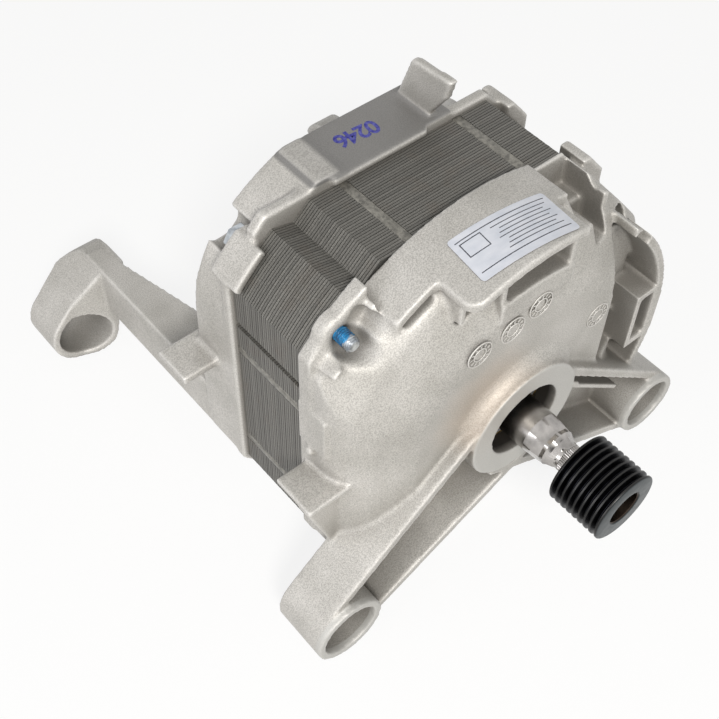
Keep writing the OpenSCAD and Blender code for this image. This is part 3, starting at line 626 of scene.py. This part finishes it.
def skin_rows(first, rows, count):
    """Faces that join rows of points, counted from the first point, and the two end faces."""
    faces = [(first + (row - 1) * count + i, first + (row - 1) * count + (i + 1) % count,
              first + row * count + (i + 1) % count, first + row * count + i)
             for row in range(1, rows) for i in range(count)]
    return faces + [tuple(range(first, first + count))[::-1],
                    tuple(range(first + (rows - 1) * count, first + rows * count))]


# Each row: place along the shaft, radius, distance of its eight flats (0 for none), their turn, knurled or not.
half = math.pi / 8
rows = [(shaft_low.y, neck - chamfer, 0, 0, False), (shaft_low.y + chamfer, neck, 0, 0, False)]
rows += [(behind + place, *row) for place, *row in (
    (-0.0010, neck, 0, 0, False), (-0.0009, neck, 0, 0, True), (0.0040, neck, 0, 0, True),
    (0.0041, neck, 0, 0, False), (0.0050, neck, 0, 0, False), (0.0055, 0.0054, 0.0050, half, False),
    (0.0074, 0.0062, 0.0056, half, False), (0.0088, 0.0067, 0, 0, False), (0.0102, 0.0071, 0.0064, 0, False),
    (0.0135, journal, 0.0068, 0, False), (0.0165, journal, 0, 0, False))]
rows += [(hub_y + 0.0965, journal, 0, 0, False), (hub_y + 0.0970, 0.0071, 0, 0, False),
         (hub_y + 0.0972, tail, 0, 0, False), (shaft_high.y - chamfer, tail, 0, 0, False),
         (shaft_high.y, tail - chamfer, 0, 0, False)]
points = []
for y, radius, flat, turn, knurled in rows:
    for i in range(around):
        a = 2 * math.pi * i / around
        r = radius
        if knurled:
            r = radius - (tooth_depth if i % 4 == 2 else flank_depth if i % 2 else 0)
        if flat:
            r = min(radius, flat / math.cos((a + turn) % (2 * half) - half))
        points.append((r * math.cos(a), y, r * math.sin(a)))
shaft = closed_mesh("turned_shaft", points, skin_rows(0, len(rows), around), 9)
fit_piece(shaft, "rotor", steel("ground_shaft_steel", "#8f8c89", "#bdb9b5", 0.2, 160), "shaft_steel", "shaft")

# ---------------------------------------------------------------- Pulley
# Turned steel, blackened: eight V grooves for a ribbed belt between two plain rims, with a counterbore
# in front. It is pressed on the shaft's knurled neck, and the belt polishes the crests.
pulley_low, pulley_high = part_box("pulley")
bore, sink, crest = 0.0050, 0.0060, 0.0125
sink_depth, sink_edge = 0.009, 0.0006
pitch = 0.00234
groove = 0.0017
first = -4 * pitch
rim = [(0.0123, 0.0002), (crest, 0.00045)]
outline = [(bore, pulley_low.y + sink_depth), (sink, pulley_low.y + sink_depth), (sink, pulley_low.y + sink_edge),
           (sink + sink_edge, pulley_low.y), (0.0118, pulley_low.y)]
outline += [(radius, pulley_low.y + inset) for radius, inset in rim]
for index in range(8):
    start = first + index * pitch
    # One groove: shares of the pitch along the shaft, and of the groove's depth.
    for share, depth in ((0.06, 0), (0.12, 0), (0.16, 0.10), (0.42, 0.92), (0.46, 1), (0.54, 1), (0.58, 0.92),
                         (0.84, 0.10), (0.88, 0), (0.94, 0)):
        outline.append((crest - groove * depth, start + share * pitch))
outline += [(radius, pulley_high.y - inset) for radius, inset in reversed(rim)]
outline += [(0.0120, pulley_high.y), (bore, pulley_high.y)]


def turned(name, outline, around):
    """A ring turned about the shaft's axis from its closed outline of (radius, place along the shaft)."""
    count = len(outline)
    angles = [2 * math.pi * i / around for i in range(around)]
    points = [(r * math.cos(a), y, r * math.sin(a)) for a in angles for r, y in outline]
    faces = []
    for i in range(around):
        here, there = i * count, (i + 1) % around * count
        faces += [(here + j, here + (j + 1) % count, there + (j + 1) % count, there + j) for j in range(count)]
    return closed_mesh(name, points, faces, 40)


black_steel, tree = new_material("blackened_steel")
place, axis = object_place(tree)
blotch = noise(tree, place, 380, 3)
tone = ramp(tree, blotch, (0.35, "#17171a"), (0.7, "#222327"))
# The front face is machined back to a dull grey.
colour = tint(tree, tone, remap(tree, axis["Y"], pulley_low.y + 0.0003, pulley_low.y + 0.0001), "#4a4f50")
# Old grease has browned the hole, and the belt has worn the crests a little lighter.
reach = from_axis(tree, axis)
colour = tint(tree, colour, remap(tree, reach, 0.0064, 0.0061, 0, 0.8), "#4c4138")
colour = tint(tree, colour, remap(tree, reach, 0.0122, 0.0125, 0, 0.5), "#4a4947")
surface(tree, colour, remap(tree, blotch, 0, 1, 0.28, 0.48), 1.0, Normal=bump(tree, blotch, 0.25, 0.0002))
fit_piece(turned("ribbed_pulley", outline, 144), "rotor", black_steel, "pulley_black", "pulley")

# ---------------------------------------------------------------- Bearings
# Deep-groove ball bearings: hardened and ground rings, polished balls and a pressed brass cage.
# The outer rings sit in the shields and the inner ones are pressed on the shaft; a spring washer loads the rear one.
race_steel = steel("ground_bearing_steel", "#8f8f90", "#c3c3c4", 0.2, 300)
cage_brass = steel("pressed_cage_brass", "#8f7437", "#c9a862", 0.32, 300)
for side in ("front", "rear"):
    for part, finish in (("outer", race_steel), ("inner", race_steel), ("balls", race_steel), ("cage", cage_brass)):
        dress(f"{side}_bearing_{part}", finish)
dress("wave_washer", race_steel)
dress("terminal_pins", cage_brass)

# ---------------------------------------------------------------- Clamp rods and nuts
# Four long zinc-plated M5 rods are screwed into the front lugs, with a nut on each rear lug. Their threaded
# front ends stand out bright, with blue locking paint run into the threads next to the lug.
rod_low, rod_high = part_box("clamp_bolts")
rod_radius = 0.0025
rod_chamfer = 0.0007
thread_pitch = 0.0008
thread_depth = 0.0004
lug_front = rod_low.y + 0.0053
sides = 32
steps = [i * thread_pitch / 8 for i in range(65)]
rows = [rod_low.y + step for step in steps] + [rod_high.y - step for step in reversed(steps)]
points, faces = [], []
for x, z in rod_places:
    faces += skin_rows(len(points), len(rows), sides)
    for y in rows:
        for i in range(sides):
            a = 2 * math.pi * i / sides
            # The thread's flanks slope, and its crest and root are flat.
            lead = ((y - rod_low.y) / thread_pitch + i / sides) % 1
            r = rod_radius - thread_depth * min(1, max(0, 1.3 * abs(2 * lead - 1) - 0.15))
            r = min(r, rod_radius - rod_chamfer + min(y - rod_low.y, rod_high.y - y))
            points.append((x + r * math.cos(a), y, z + r * math.sin(a)))
rods = closed_mesh("clamp_rod_set", points, faces, 40)

painted_zinc, tree = new_material("zinc_rod_with_lock_paint")
place, axis = object_place(tree)
runs = noise(tree, place, 420, 3, 0.6)
zinc_tone = ramp(tree, runs, (0.35, "#858a90"), (0.65, "#cfd4d8"))
blue = ramp(tree, runs, (0.38, "#12486f"), (0.62, "#2582b6"))
ragged = calc(tree, "MULTIPLY_ADD", runs, 0.0024, axis["Y"])
dabbed = remap(tree, ragged, lug_front - 0.0019, lug_front - 0.0016)
dabbed = calc(tree, "MULTIPLY", dabbed, calc(tree, "LESS_THAN", axis["Y"], lug_front + 0.002))
surface(tree, tint(tree, zinc_tone, dabbed, blue), 0.28, calc(tree, "SUBTRACT", 1, dabbed))
fit_piece(rods, "housing", painted_zinc, "bolt_zinc", "clamp_bolts")
zinc = steel("zinc_plated_nut", "#8f949a", "#cfd4d8", 0.3, 300)
fit_piece(edged_copy("clamp_nut_set", 0.0004, 3, "bolt_nuts"), "housing", zinc, "bolt_zinc", "bolt_nuts")

# ---------------------------------------------------------------- Rating label
# A printed polyester film stuck on the band, a little askew and with rounded corners. It carries no words:
# only empty ruled lines and a plain frame where a maker would print its own.
band_radius = 0.076
film_gap = 0.0002
film_thickness = 0.00014
label_centre = (-0.0034, hub_y + 0.0146)
label_turn = math.radians(-5.5)
label_half = (0.017, 0.0085)
corner = 0.0012
steps = (72, 36)
points, faces, places = [], [], []
for j in range(steps[1] + 1):
    for i in range(steps[0] + 1):
        u = (2 * i / steps[0] - 1) * label_half[0]
        v = (2 * j / steps[1] - 1) * label_half[1]
        # Corners are rounded by pulling the outermost points in.
        du = max(0, abs(u) - (label_half[0] - corner))
        dv = max(0, abs(v) - (label_half[1] - corner))
        if du > 0 and dv > 0 and math.hypot(du, dv) > corner:
            k = corner / math.hypot(du, dv)
            u = math.copysign(label_half[0] - corner + du * k, u)
            v = math.copysign(label_half[1] - corner + dv * k, v)
        x = label_centre[0] + u * math.cos(label_turn) - v * math.sin(label_turn)
        y = label_centre[1] + u * math.sin(label_turn) + v * math.cos(label_turn)
        points.append((x, y, math.sqrt((band_radius + film_gap) ** 2 - x * x)))
        places.append((u, v))
for j in range(steps[1]):
    for i in range(steps[0]):
        a = j * (steps[0] + 1) + i
        faces.append((a, a + 1, a + steps[0] + 2, a + steps[0] + 1))
mesh = bpy.data.meshes.new("blank_label")
mesh.from_pydata(points, [], faces)
layer = mesh.uv_layers.new(name="film")
for loop in mesh.loops:
    u, v = places[loop.vertex_index]
    layer.data[loop.index].uv = (u / label_half[0] / 2 + 0.5, v / label_half[1] / 2 + 0.5)
label = new_object("blank_label", mesh)
thick = label.modifiers.new("film", "SOLIDIFY")
thick.thickness = film_thickness
thick.offset = 1
bake(label)
label.data.shade_smooth()
label.data.set_sharp_from_angle(angle=math.radians(40))

# Polyester label film: pale lilac grey with a soft gloss; the print is black.
printed_film, tree = new_material("printed_label_film")
film = add(tree, "ShaderNodeUVMap", uv_map="film").outputs[0]
axis = add(tree, "ShaderNodeSeparateXYZ", {"Vector": film}).outputs


def between(value, low, high):
    """1 where the value lies between low and high."""
    return calc(tree, "MULTIPLY", calc(tree, "GREATER_THAN", value, low), calc(tree, "LESS_THAN", value, high))


def patch(left, right, bottom, top):
    """1 inside a rectangle of the film."""
    return calc(tree, "MULTIPLY", between(axis["X"], left, right), between(axis["Y"], bottom, top))


# Two long rules, seven text rules of uneven length, and the four sides of a frame.
prints = [(0.04, 0.96, 0.145, 0.165), (0.04, 0.96, 0.865, 0.885)]
for row in range(7):
    bottom = 0.26 + row * 0.085
    prints.append((0.36 + 0.03 * (row % 3), 0.93 - 0.05 * (row % 2), bottom, bottom + 0.018))
prints += [(0.06, 0.27, 0.50, 0.52), (0.06, 0.27, 0.80, 0.82), (0.06, 0.07, 0.50, 0.82), (0.26, 0.27, 0.50, 0.82)]
print_mask = patch(*prints[0])
for rectangle in prints[1:]:
    print_mask = calc(tree, "MAXIMUM", print_mask, patch(*rectangle))
tone = ramp(tree, noise(tree, film, 6, 2), (0.3, "#c6cad3"), (0.7, "#d6d8df"))
surface(tree, tint(tree, tone, print_mask, "#33363f"), 0.34)
fit_piece(label, "housing", printed_film, "label_film", "rating_label")

# ---------------------------------------------------------------- Inspection stamp
# A tester's ink stamp on the bell's flat top, in worn blue ink: plain figures that mean nothing here.
# It is printed on the metal, 0.05 mm thick.
ink_thickness = 0.00005
stamp_place = (-0.0082, hub_y + 0.0765, bell_top + 0.00003)
text = bpy.data.curves.new("ink_figures", "FONT")
text.body = "0246"
text.size = 0.0082
text.space_character = 0.92
text.align_x = "CENTER"
text.align_y = "CENTER"
text.offset = 0.00018
text.extrude = ink_thickness / 2
text.resolution_u = 4
figures = new_object("ink_figures_text", text)
graph = bpy.context.evaluated_depsgraph_get()
mesh = bpy.data.meshes.new_from_object(figures.evaluated_get(graph), depsgraph=graph)
bpy.data.objects.remove(figures)
mesh.transform(Matrix.Translation(stamp_place) @ Matrix.Rotation(math.radians(176), 4, "Z"))
ink = new_object("ink_figures", mesh)
stamp_ink, tree = new_material("stamp_ink")
worn = noise(tree, object_place(tree)[0], 900, 3)
surface(tree, ramp(tree, worn, (0.36, "#16157c"), (0.72, "#5a5ca8")), 0.4)
fit_piece(ink, "housing", stamp_ink, "label_film")
